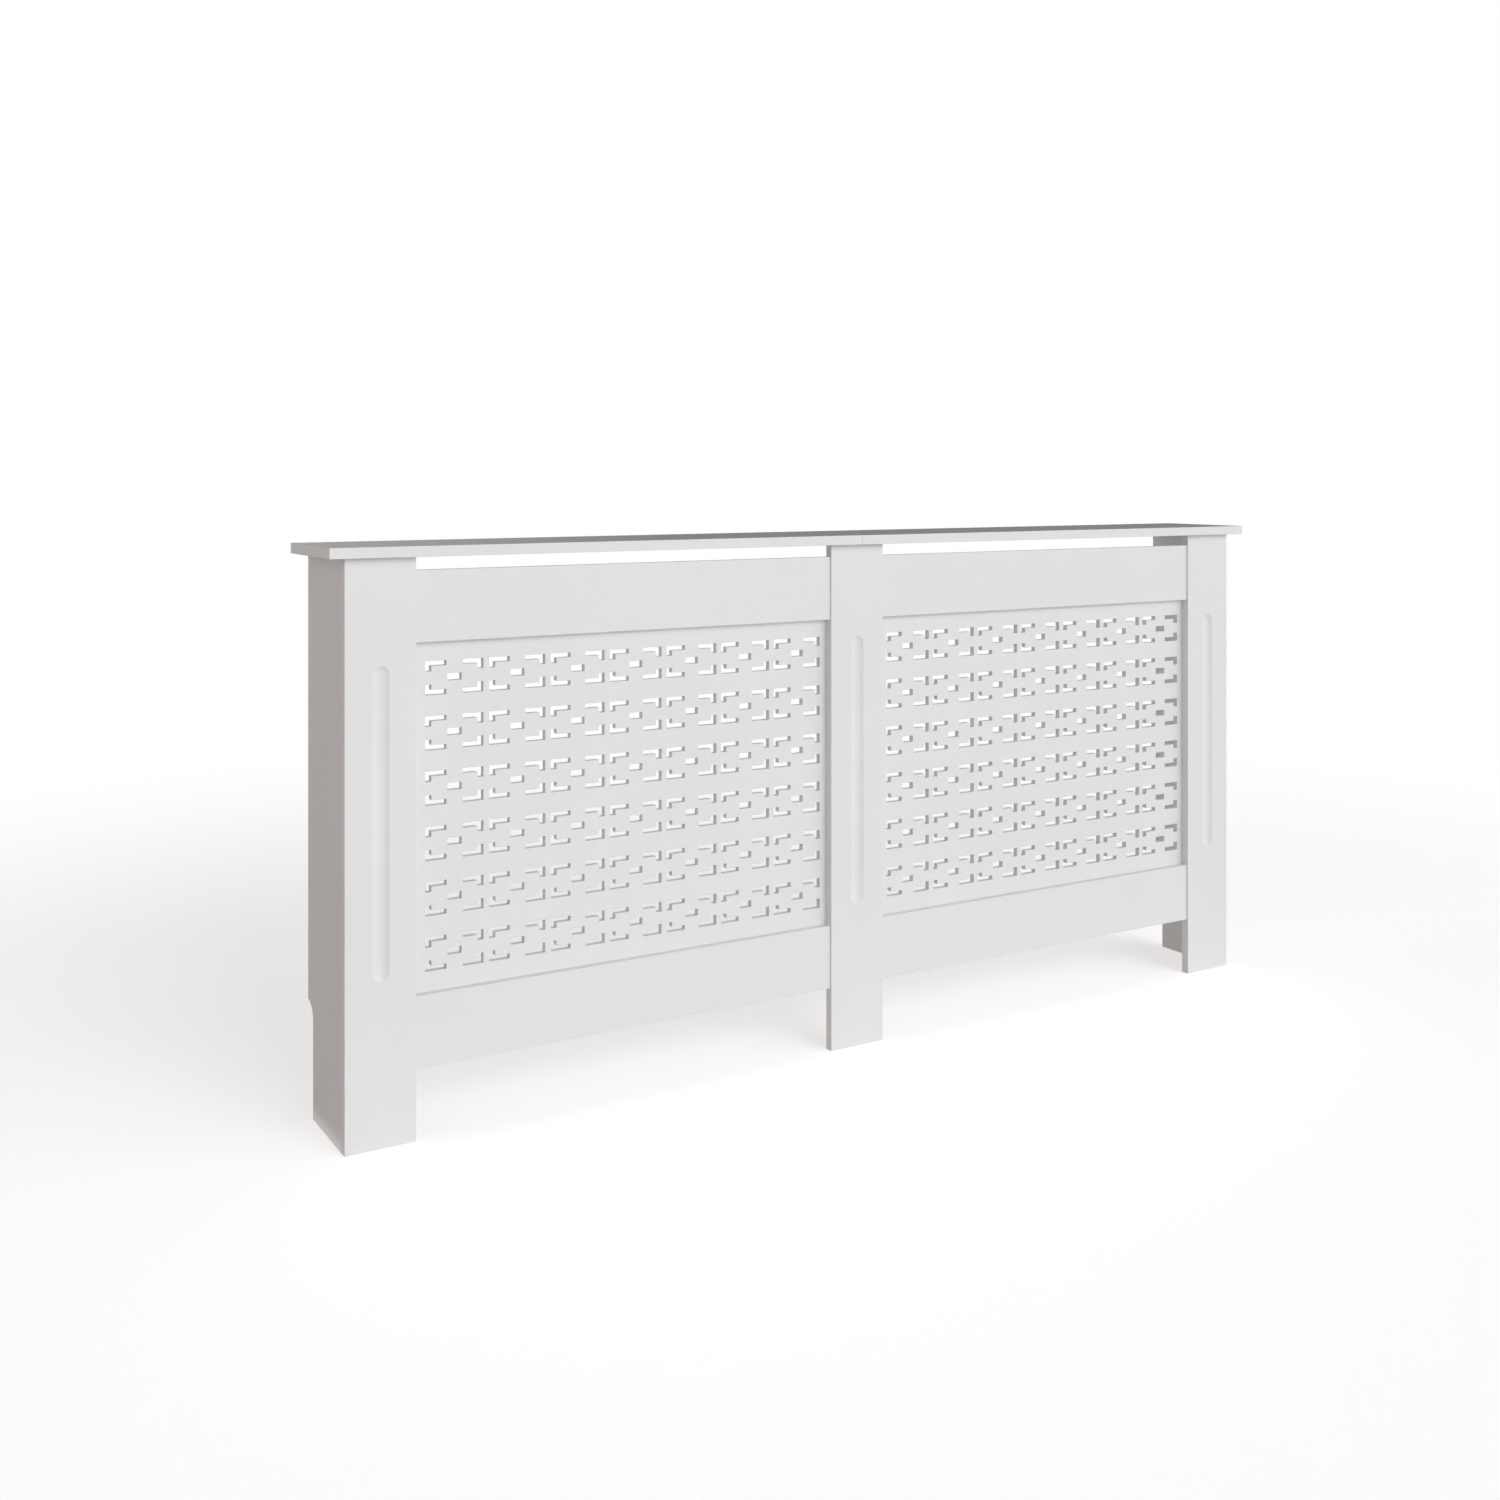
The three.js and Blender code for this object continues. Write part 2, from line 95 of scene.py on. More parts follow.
AXIS_Y = Vector((0, 1, 0))
AXIS_Z = Vector((0, 0, 1))

PAINT_WHITE = "#e7e7e9"
PAINT_THIN = "#e2e1e2"
PAINT_IOR = 1.5
FACE_ROUGHNESS = (0.20, 0.26)
EDGE_ROUGHNESS = (0.46, 0.54)
SPRAY_PATCH = 220 * MM
SPRAY_DETAIL = 3
SPRAY_BREAKUP = 0.55
ORANGE_PEEL = 2.2 * MM
ORANGE_PEEL_DEPTH = 0.012 * MM
EDGE_FIBRE = 0.9 * MM
EDGE_FIBRE_DEPTH = 0.03 * MM


def linear(hex_colour):
    """An sRGB hex colour as linear RGBA."""
    channels = [int(hex_colour[i : i + 2], 16) / 255 for i in (1, 3, 5)]
    return [c / 12.92 if c <= 0.04045 else ((c + 0.055) / 1.055) ** 2.4 for c in channels] + [1]


def add_node(tree, kind, inputs=None, **settings):
    """Adds a node with its settings. An input is a value, or another node's output to link."""
    node = tree.nodes.new(kind)
    for name, value in settings.items():
        setattr(node, name, value)
    for name, value in (inputs or {}).items():
        if isinstance(value, bpy.types.NodeSocket):
            tree.links.new(value, node.inputs[name])
        else:
            node.inputs[name].default_value = value
    return node


def new_material(name):
    """An empty material, its node tree and its output node."""
    material = bpy.data.materials.new(name)
    material.use_nodes = True
    material.node_tree.nodes.clear()
    output = add_node(material.node_tree, "ShaderNodeOutputMaterial")
    return material, material.node_tree, output


def sprayed_paint(name, roughness, peel, peel_depth):
    """White satin paint, sprayed on MDF: an even milky white. Its thickness drifts a little over a
    hand's span, which only just shows, and a fine orange peel softens the edges of reflections."""
    material, tree, output = new_material(name)
    place = add_node(tree, "ShaderNodeTexCoord").outputs["Object"]
    film = add_node(
        tree,
        "ShaderNodeTexNoise",
        {
            "Vector": place,
            "Scale": 1 / SPRAY_PATCH,
            "Detail": SPRAY_DETAIL,
            "Roughness": SPRAY_BREAKUP,
        },
    ).outputs["Fac"]
    peel_noise = add_node(
        tree, "ShaderNodeTexNoise", {"Vector": place, "Scale": 1 / peel}
    ).outputs["Fac"]
    colour = add_node(
        tree,
        "ShaderNodeMix",
        {"Factor": film, "A": linear(PAINT_THIN), "B": linear(PAINT_WHITE)},
        data_type="RGBA",
    )
    gloss = add_node(
        tree,
        "ShaderNodeMapRange",
        {"Value": peel_noise, "To Min": roughness[0], "To Max": roughness[1]},
    ).outputs["Result"]
    bump = add_node(
        tree, "ShaderNodeBump", {"Height": peel_noise, "Distance": peel_depth}
    ).outputs["Normal"]
    paint = add_node(
        tree,
        "ShaderNodeBsdfPrincipled",
        {"Base Color": colour.outputs[2], "Roughness": gloss, "IOR": PAINT_IOR, "Normal": bump},
    )
    tree.links.new(paint.outputs["BSDF"], output.inputs["Surface"])
    return material


# The sealed faces are smooth. Where a saw or a cutter opens the board, its fibres swell under the
# paint, so the edges and the routed cuts are a shade rougher and less glossy.
painted_face = sprayed_paint(
    "satin_paint_on_mdf_face", FACE_ROUGHNESS, ORANGE_PEEL, ORANGE_PEEL_DEPTH
)
painted_edge = sprayed_paint(
    "satin_paint_on_cut_mdf", EDGE_ROUGHNESS, EDGE_FIBRE, EDGE_FIBRE_DEPTH
)


def ease_edges(shape, edges, width, steps):
    """Rounds sharp edges, and keeps the flat faces beside them flat in the shading."""
    made = bmesh.ops.bevel(
        shape,
        geom=edges,
        offset=width,
        segments=steps,
        profile=ARRIS_PROFILE,
        affect="EDGES",
        clamp_overlap=False,
    )
    eased = set(made["faces"])
    for edge in shape.edges:
        turn = edge.calc_face_angle(0)
        beside_flat = len(set(edge.link_faces) & eased) == 1
        edge.smooth = turn < SMOOTH_ANGLE and not beside_flat


def joins(node, edge):
    """Whether an edge lies against a neighbouring node."""
    low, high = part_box(node)
    return all(
        low[i] - JOINT_GAP < vert.co[i] < high[i] + JOINT_GAP
        for vert in edge.verts
        for i in range(3)
    )


def arrises(shape, neighbours):
    """The edges that stick out, which sanding rounds off, down to the rims of the dowel bores.
    Screw holes stay as drilled. An edge glued to a neighbour stays crisp, so no groove shows."""
    return [
        e
        for e in shape.edges
        if e.is_convex
        and e.calc_face_angle(0) > ARRIS_ANGLE
        and e.calc_length() > ARRIS_SHORTEST
        and not any(joins(node, e) for node in neighbours)
    ]


def make_mesh(name, shape, materials):
    """Turns a shape into a mesh, smooth but for the edges that are marked sharp."""
    mesh = bpy.data.meshes.new(name)
    for face in shape.faces:
        face.smooth = True
    shape.to_mesh(mesh)
    shape.free()
    for material in materials:
        mesh.materials.append(material)
    return mesh


def add_piece(name, mesh, node, place=Matrix.Identity(4)):
    """Adds a piece that stands for a CAD node, hangs it on the root body, and hides the node."""
    piece = bpy.data.objects.new(name, mesh)
    piece.matrix_world = place
    bpy.context.scene.collection.objects.link(piece)
    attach(piece, "root")
    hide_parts(node)


def node_shape(node):
    """A CAD node's own shape, with its flat faces whole."""
    shape = bmesh.new()
    shape.from_mesh(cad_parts[node].data)
    bmesh.ops.remove_doubles(shape, verts=shape.verts, dist=WELD_DISTANCE)
    bmesh.ops.dissolve_limit(shape, angle_limit=FLAT_ANGLE, verts=shape.verts, edges=shape.edges)
    return shape


def paint_board(shape, thickness_axis):
    """Gives the sealed faces the first material, and the cut edges the second."""
    for face in shape.faces:
        sealed = abs(face.normal.dot(thickness_axis)) > math.cos(FLAT_ANGLE)
        face.material_index = 0 if sealed else 1


def add_board(node, shape, thickness_axis, arris, steps, neighbours=()):
    """A painted board with sanded arrises, in place of its CAD node."""
    ease_edges(shape, arrises(shape, neighbours), arris, steps)
    shape.normal_update()
    paint_board(shape, thickness_axis)
    name = f"{node}_painted"
    mesh = make_mesh(name, shape, (painted_face, painted_edge))
    add_piece(name, mesh, node)


def cut_away(shape, cutter):
    """What is left of a shape when a cutter has passed through it."""
    objects = []
    for part in (shape, cutter):
        mesh = bpy.data.meshes.new("cut")
        part.to_mesh(mesh)
        part.free()
        objects.append(bpy.data.objects.new("cut", mesh))
        bpy.context.scene.collection.objects.link(objects[-1])
    boolean = objects[0].modifiers.new("cut", "BOOLEAN")
    boolean.operation = "DIFFERENCE"
    boolean.solver = "EXACT"
    boolean.object = objects[1]
    depsgraph = bpy.context.evaluated_depsgraph_get()
    left = bmesh.new()
    left.from_mesh(objects[0].evaluated_get(depsgraph).to_mesh())
    for piece in objects:
        mesh = piece.data
        bpy.data.objects.remove(piece)
        bpy.data.meshes.remove(mesh)
    return left


def router_nose(low, high):
    """The path of the round-nosed cutter in a post's face: a rounded bar with ball ends."""
    radius = (FLUTE_WIDTH**2 / 4 + FLUTE_DEPTH**2) / (2 * FLUTE_DEPTH)
    reach = (FLUTE_LENGTH - FLUTE_WIDTH) / 2
    nose = bmesh.new()
    bmesh.ops.create_uvsphere(
        nose,
        u_segments=FLUTE_SIDES,
        v_segments=FLUTE_SIDES // 2 + 1,
        radius=radius + FLUTE_CLEARANCE,
    )
    top_rail_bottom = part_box("top_rail_left")[0].z
    bottom_rail_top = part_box("bottom_rail_left")[1].z
    height = (top_rail_bottom + bottom_rail_top) / 2
    middle = Vector(((low.x + high.x) / 2, low.y + FLUTE_DEPTH - radius, height))
    for vert in nose.verts:
        vert.co.z += math.copysign(reach, vert.co.z)
        vert.co += middle
    return nose


for node, neighbours in POST_NEIGHBOURS.items():
    shape = cut_away(node_shape(node), router_nose(*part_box(node)))
    add_board(node, shape, AXIS_Y, BOARD_ARRIS, ARRIS_STEPS, neighbours)


# ---- Rails ------------------------------------------------------------------------------------
# Four MDF rails between the posts, above and below the fretwork. They are thinner than the posts
# and flush with them behind, so their fronts sit a little back. Two dowels hold each end.

for node in ("top_rail_left", "top_rail_right", "bottom_rail_left", "bottom_rail_right"):
    add_board(node, node_shape(node), AXIS_Y, BOARD_ARRIS, ARRIS_STEPS, list(POST_NEIGHBOURS))


# ---- Fretwork panels --------------------------------------------------------------------------
# Two thin MDF boards, cut right through with rows of a key pattern and glued behind the posts and
# rails. The cuts keep their crisp corners, and only the rims are sanded.

FRET_ARRIS = 0.35 * MM
FRET_ARRIS_STEPS = 1
LINE_DECIMALS = 5  # of a metre, so edges within a hundredth of a millimetre share a line
RAY_START = 10 * MM


def cut_lines(node, axis):
    """The places along an axis where the board or one of its cuts has an edge."""
    places = {round(v.co[axis], LINE_DECIMALS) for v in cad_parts[node].data.vertices}
    return sorted(places)


def fretwork_shape(node):
    """The board as a grid of cells between its cut lines, with the open cells left out."""
    low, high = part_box(node)
    xs = cut_lines(node, 0)
    zs = cut_lines(node, 2)
    board = bmesh.new()
    board.from_mesh(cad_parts[node].data)
    tree = BVHTree.FromBMesh(board)
    board.free()

    shape = bmesh.new()
    corners = {}

    def corner(i, k, y):
        if (i, k, y) not in corners:
            corners[i, k, y] = shape.verts.new((xs[i], y, zs[k]))
        return corners[i, k, y]

    def solid(i, k):
        if not (0 <= i < len(xs) - 1 and 0 <= k < len(zs) - 1):
            return False
        start = Vector(((xs[i] + xs[i + 1]) / 2, low.y - RAY_START, (zs[k] + zs[k + 1]) / 2))
        return tree.ray_cast(start, AXIS_Y, RAY_START * 2)[0] is not None

    filled = {(i, k) for i in range(len(xs) - 1) for k in range(len(zs) - 1) if solid(i, k)}
    front, back = low.y, high.y
    for i, k in sorted(filled):
        ring = [(i, k), (i + 1, k), (i + 1, k + 1), (i, k + 1)]
        shape.faces.new([corner(a, b, front) for a, b in ring])
        shape.faces.new([corner(a, b, back) for a, b in reversed(ring)])
        neighbours = [(i, k - 1), (i + 1, k), (i, k + 1), (i - 1, k)]
        for side, neighbour in enumerate(neighbours):
            if neighbour not in filled:
                start, end = ring[side], ring[(side + 1) % len(ring)]
                wall = [(*end, front), (*start, front), (*start, back), (*end, back)]
                shape.faces.new([corner(*point) for point in wall])
    shape.normal_update()
    return shape


for node in ("fretwork_left", "fretwork_right"):
    add_board(node, fretwork_shape(node), AXIS_Y, FRET_ARRIS, FRET_ARRIS_STEPS)


# ---- Side panels ------------------------------------------------------------------------------
# Two MDF boards from the end posts back to the wall. The bottom back corner is notched with a
# round inner corner, so that the cabinet stands flat to the wall over a skirting board.

for node, post in (("side_panel_left", "end_post_left"), ("side_panel_right", "end_post_right")):
    add_board(node, node_shape(node), AXIS_X, BOARD_ARRIS, ARRIS_STEPS, [post])


# ---- Shelf ------------------------------------------------------------------------------------
# Two MDF halves that overhang the front and the ends. They are drawn together over the centre post
# in a dry butt joint, which stays open by a hair and shows as one thin dark line.

SHELF_JOINT = 0.3 * MM

for node, meeting_end, away in (("shelf_left", 1, -AXIS_X), ("shelf_right", 0, AXIS_X)):
    shape = node_shape(node)
    for vert in shape.verts:
        if abs(vert.co.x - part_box(node)[meeting_end].x) < WELD_DISTANCE:
            vert.co += away * SHELF_JOINT / 2
    add_board(node, shape, AXIS_Z, BOARD_ARRIS, ARRIS_STEPS)


# ---- Dowels -----------------------------------------------------------------------------------
# Beech pins with straight grooves, which let the glue escape, and chamfered ends. Two sit in each
# end of every rail, three in the front edge of each side panel, and one joins it to the shelf.

DOWEL_GROOVES = 18
GROOVE_POINTS = 4  # round the dowel, half of them on a ridge and half in its groove
DOWEL_GROOVE_DEPTH = 0.2 * MM
DOWEL_CHAMFER = 1 * MM
BEECH_PALE = "#d9b98f"
BEECH_TAN = "#c39a6b"
BEECH_FLECK = "#8f6740"
BEECH_RING_WIDTH = 1.4 * MM
BEECH_RING_LENGTH = 28 * MM
BEECH_FLECK_WIDTH = 0.35 * MM
BEECH_FLECK_LENGTH = 2.5 * MM
BEECH_FLECK_DETAIL = 1
BEECH_FLECK_EDGE = (0.6, 0.72)
BEECH_FLECK_SHARE = 0.7
BEECH_FIBRE_DEPTH = 0.02 * MM
BEECH_ROUGHNESS = 0.72
BEECH_IOR = 1.5


def turned_beech(name):
    """Bare beech with its grain along the piece's own Z: a pinkish tan that shifts from one yearly
    ring to the next, with the short dark flecks that tell beech from other woods. Dry and matt."""
    material, tree, output = new_material(name)
    place = add_node(tree, "ShaderNodeTexCoord").outputs["Object"]
    ring_place = add_node(
        tree,
        "ShaderNodeVectorMath",
        {0: place, 1: (1 / BEECH_RING_WIDTH, 1 / BEECH_RING_WIDTH, 1 / BEECH_RING_LENGTH)},
        operation="MULTIPLY",
    ).outputs["Vector"]
    rings = add_node(
        tree, "ShaderNodeTexNoise", {"Vector": ring_place, "Scale": 1}
    ).outputs["Fac"]
    fleck_place = add_node(
        tree,
        "ShaderNodeVectorMath",
        {0: place, 1: (1 / BEECH_FLECK_WIDTH, 1 / BEECH_FLECK_WIDTH, 1 / BEECH_FLECK_LENGTH)},
        operation="MULTIPLY",
    ).outputs["Vector"]
    fleck_noise = add_node(
        tree,
        "ShaderNodeTexNoise",
        {"Vector": fleck_place, "Scale": 1, "Detail": BEECH_FLECK_DETAIL},
    ).outputs["Fac"]
    flecks = add_node(
        tree,
        "ShaderNodeMapRange",
        {
            "Value": fleck_noise,
            "From Min": BEECH_FLECK_EDGE[0],
            "From Max": BEECH_FLECK_EDGE[1],
            "To Max": BEECH_FLECK_SHARE,
        },
    ).outputs["Result"]
    wood = add_node(
        tree,
        "ShaderNodeMix",
        {"Factor": rings, "A": linear(BEECH_TAN), "B": linear(BEECH_PALE)},
        data_type="RGBA",
    )
    flecked = add_node(
        tree,
        "ShaderNodeMix",
        {"Factor": flecks, "A": wood.outputs[2], "B": linear(BEECH_FLECK)},
        data_type="RGBA",
    )
    bump = add_node(
        tree, "ShaderNodeBump", {"Height": fleck_noise, "Distance": BEECH_FIBRE_DEPTH}
    ).outputs["Normal"]
    surface = add_node(
        tree,
        "ShaderNodeBsdfPrincipled",
        {
            "Base Color": flecked.outputs[2],
            "Roughness": BEECH_ROUGHNESS,
            "IOR": BEECH_IOR,
            "Normal": bump,
        },
    )
    tree.links.new(surface.outputs["BSDF"], output.inputs["Surface"])
    return material


def join_rings(shape, rings):
    """Joins each ring of points to the next with a band of faces."""
    for lower, upper in zip(rings, rings[1:]):
        for i in range(len(lower)):
            j = (i + 1) % len(lower)
            shape.faces.new((lower[i], lower[j], upper[j], upper[i]))


def dowel_shape(length, radius):
    """A grooved pin along Z, with its middle at the origin."""
    shape = bmesh.new()
    profile = (
        (-length / 2, radius - DOWEL_CHAMFER, 0),
        (-length / 2 + DOWEL_CHAMFER, radius, DOWEL_GROOVE_DEPTH),
        (length / 2 - DOWEL_CHAMFER, radius, DOWEL_GROOVE_DEPTH),
        (length / 2, radius - DOWEL_CHAMFER, 0),
    )
    points = GROOVE_POINTS * DOWEL_GROOVES
    rings = []
    for z, around, depth in profile:
        ring = []
        for i in range(points):
            turn = 2 * math.pi * i / points
            in_groove = i % GROOVE_POINTS >= GROOVE_POINTS / 2
            r = around - depth if in_groove else around
            ring.append(shape.verts.new((r * math.cos(turn), r * math.sin(turn), z)))
        rings.append(ring)
    join_rings(shape, rings)
    shape.faces.new(list(reversed(rings[0])))
    shape.faces.new(rings[-1])
    for edge in shape.edges:
        edge.smooth = edge.calc_face_angle(0) < SMOOTH_ANGLE
    return shape


def along_longest_side(node):
    """A node's length, half its width, and the place of something built along Z to lie in it."""
    low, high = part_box(node)
    size = high - low
    axis = max(range(3), key=lambda i: size[i])
    direction = Vector([float(i == axis) for i in range(3)])
    turn = direction.to_track_quat("Z", "Y").to_matrix().to_4x4()
    width = min(size)
    return size[axis], width / 2, Matrix.Translation((low + high) / 2) @ turn


beech = turned_beech("turned_beech")
for node in sorted(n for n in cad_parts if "dowel" in n):
    length, radius, place = along_longest_side(node)
    name = f"{node}_grooved"
    add_piece(name, make_mesh(name, dowel_shape(length, radius), [beech]), node, place)


# ---- Brackets and joining plates ---------------------------------------------------------------
# Small zinc-plated steel strips, cut, bent and drilled. Two hold the shelf to the side panels, two
# hold it to the centre post, two fix the cabinet to the wall, and two flat ones join the shelf.

STRIP_THICKNESS = 2 * MM
STRIP_CORNER = 3 * MM
STRIP_STEPS = 6
STRIP_BEND = 4 * MM
STRIP_ARRIS = 0.2 * MM
STRIP_SMOOTH = (math.radians(10), math.radians(20))  # the turns within a bend or a hole's wall
SCREW_HOLE = 4.6 * MM
WALL_HOLE = 5 * MM
HOLE_FROM_CORNER = 15 * MM
HOLE_FROM_MIDDLE = 28 * MM
HOLE_SIDES = 32
DRILL_LENGTH = 3 * STRIP_THICKNESS
ZINC_BRIGHT = "#c6cacf"
ZINC_DULL = "#aeb3b8"
ZINC_CLOUD = 6 * MM
ZINC_CLOUD_DETAIL = 3
ZINC_DENT = 0.5 * MM
ZINC_DENT_DEPTH = 0.006 * MM
ZINC_ROUGHNESS = (0.26, 0.42)


def zinc_plate(name):
    """Bright zinc on pressed steel: a cool silver, a little cloudy, with the fine dents that the
    pieces give each other when they are tumbled, so reflections stay soft."""
    material, tree, output = new_material(name)
    place = add_node(tree, "ShaderNodeTexCoord").outputs["Object"]
    cloud = add_node(
        tree,
        "ShaderNodeTexNoise",
        {"Vector": place, "Scale": 1 / ZINC_CLOUD, "Detail": ZINC_CLOUD_DETAIL},
    ).outputs["Fac"]
    dents = add_node(
        tree, "ShaderNodeTexNoise", {"Vector": place, "Scale": 1 / ZINC_DENT}
    ).outputs["Fac"]
    colour = add_node(
        tree,
        "ShaderNodeMix",
        {"Factor": cloud, "A": linear(ZINC_DULL), "B": linear(ZINC_BRIGHT)},
        data_type="RGBA",
    )
    gloss = add_node(
        tree,
        "ShaderNodeMapRange",
        {"Value": cloud, "To Min": ZINC_ROUGHNESS[0], "To Max": ZINC_ROUGHNESS[1]},
    ).outputs["Result"]
    bump = add_node(
        tree, "ShaderNodeBump", {"Height": dents, "Distance": ZINC_DENT_DEPTH}
    ).outputs["Normal"]
    surface = add_node(
        tree,
        "ShaderNodeBsdfPrincipled",
        {"Base Color": colour.outputs[2], "Metallic": 1, "Roughness": gloss, "Normal": bump},
    )
    tree.links.new(surface.outputs["BSDF"], output.inputs["Surface"])
    return material


def drill(shape, middle, axis, diameter):
    """The strip with one round hole through it."""
    bit = bmesh.new()
    bmesh.ops.create_cone(
        bit,
        cap_ends=True,
        segments=HOLE_SIDES,
        radius1=diameter / 2,
        radius2=diameter / 2,
        depth=DRILL_LENGTH,
    )
    turn = axis.to_track_quat("Z", "Y").to_matrix().to_4x4()
    bit.transform(Matrix.Translation(middle) @ turn)
    return cut_away(shape, bit)


def cut_strip(outline, width):
    """A strip seen from its edge, given its width, with rounded corners and worn edges."""
    shape = bmesh.new()
    face = shape.faces.new([shape.verts.new((x, y, -width / 2)) for x, y in reversed(outline)])
    side = bmesh.ops.extrude_face_region(shape, geom=[face])["geom"]
    for vert in (v for v in side if isinstance(v, bmesh.types.BMVert)):
        vert.co.z += width
    bmesh.ops.recalc_face_normals(shape, faces=shape.faces)
    square = [e for e in shape.edges if e.calc_face_angle(0) > ARRIS_ANGLE]
    corners = [e for e in square if abs(e.calc_length() - STRIP_THICKNESS) < WELD_DISTANCE]
    ease_edges(shape, corners, STRIP_CORNER, STRIP_STEPS)
    rims = [e for e in shape.edges if e.calc_face_angle(0) > ARRIS_ANGLE]
    ease_edges(shape, rims, STRIP_ARRIS, 1)
    return shape


def arc(middle, radius, start, end):
    """Points on an arc between two angles in degrees."""
    turns = [math.radians(start + (end - start) * i / STRIP_STEPS) for i in range(STRIP_STEPS + 1)]
    return [(middle + radius * math.cos(t), middle + radius * math.sin(t)) for t in turns]


def angle_strip(leg, width, first_hole, second_hole):
    """A strip bent square, with its outer corner at the origin and its legs along X and Y."""
    inner = STRIP_BEND - STRIP_THICKNESS
    outline = arc(STRIP_BEND, STRIP_BEND, 180, 270)
    outline += [(leg, 0), (leg, STRIP_THICKNESS)]
    outline += arc(STRIP_BEND, inner, 270, 180)
    outline += [(STRIP_THICKNESS, leg), (0, leg)]
    shape = cut_strip(outline, width)
    shape = drill(shape, HOLE_FROM_CORNER * AXIS_X, AXIS_Y, first_hole)
    return drill(shape, HOLE_FROM_CORNER * AXIS_Y, AXIS_X, second_hole)


def flat_strip(length, width):
    """A flat strip along X with a hole near each end, and its middle at the origin."""
    x, y = length / 2, STRIP_THICKNESS / 2
    shape = cut_strip([(-x, -y), (x, -y), (x, y), (-x, y)], width)
    for side in (-1, 1):
        shape = drill(shape, side * HOLE_FROM_MIDDLE * AXIS_X, AXIS_Y, SCREW_HOLE)
    return shape


def place_at_corner(node, first, second):
    """The place of a bent strip: its corner in its node's box, and its legs along two axes."""
    low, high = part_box(node)
    corner = (low + high) / 2
    for leg in (first, second):
        for i in range(3):
            if leg[i]:
                corner[i] = low[i] if leg[i] > 0 else high[i]
    turn = Matrix((first, second, first.cross(second))).transposed().to_4x4()
    return Matrix.Translation(corner) @ turn


def add_strip(node, shape, place):
    """A zinc-plated strip in place of its CAD node."""
    for edge in shape.edges:
        edge.smooth = STRIP_SMOOTH[0] < edge.calc_face_angle(0) < STRIP_SMOOTH[1]
    name = f"{node}_plated"
    add_piece(name, make_mesh(name, shape, [zinc]), node, place)


zinc = zinc_plate("zinc_plated_pressed_steel")
for word, inwards in (("left", AXIS_X), ("right", -AXIS_X)):
    for kind, first, second, first_hole in (
        ("shelf", inwards, -AXIS_Z, SCREW_HOLE),
        ("post", AXIS_Y, -AXIS_Z, SCREW_HOLE),
        ("wall", inwards, -AXIS_Y, WALL_HOLE),
    ):
        node = f"{kind}_bracket_{word}"
        low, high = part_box(node)
        leg = max(high - low)
        width = min(high - low)
        shape = angle_strip(leg, width, first_hole, SCREW_HOLE)
        add_strip(node, shape, place_at_corner(node, first, second))

for node in ("joining_plate_front", "joining_plate_back"):
    low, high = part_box(node)
    turn = Matrix.Rotation(math.pi / 2, 4, "X")
    shape = flat_strip(high.x - low.x, high.y - low.y)
    add_strip(node, shape, Matrix.Translation((low + high) / 2) @ turn)


# ---- Screws -----------------------------------------------------------------------------------
# Pan-head wood screws in zinc-plated steel, with a cross recess and a rolled thread. One holds
# each plate end, and each bracket leg but those on the wall. Their points stop inside the boards.

SCREW_SIDES = 24
SCREW_HEAD_RADIUS = 4 * MM
SCREW_HEAD_HEIGHT = 2.4 * MM
SCREW_HEAD_SIDE = 0.9 * MM
SCREW_DOME_STEPS = 6
SCREW_DOME_FLAT = 0.45  # the head's flat middle, as a share of its radius
SCREW_CREST = 2 * MM
SCREW_ROOT = 1.4 * MM
SCREW_PITCH = 1.6 * MM
SCREW_RIDGE = 0.25  # half the ridge's width, as a share of the pitch
SCREW_ROWS_PER_TURN = 8
SCREW_POINT = 3 * MM
RECESS_LENGTH = 4.4 * MM
RECESS_WIDTH = 0.9 * MM
RECESS_DEPTH = 1.5 * MM
RECESS_TAPER = 0.35  # the recess's length at its bottom, as a share of that at the face


def screw_ring(shape, z, radius_at):
    """A ring of points at a height, with a radius for each direction."""
    ring = []
    for i in range(SCREW_SIDES):
        turn = 2 * math.pi * i / SCREW_SIDES
        r = radius_at(turn)
        ring.append(shape.verts.new((r * math.cos(turn), r * math.sin(turn), z)))
    return ring


def thread_radius(z, turn, length):
    """The radius of the rolled thread, which thins out to nothing at the point."""
    phase = (z / SCREW_PITCH - turn / (2 * math.pi)) % 1
    from_crest = abs(phase - 0.5)
    ridge = max(0, 1 - from_crest / SCREW_RIDGE)
    taper = min(1, (length - z) / SCREW_POINT)
    return (SCREW_ROOT + (SCREW_CREST - SCREW_ROOT) * ridge) * taper


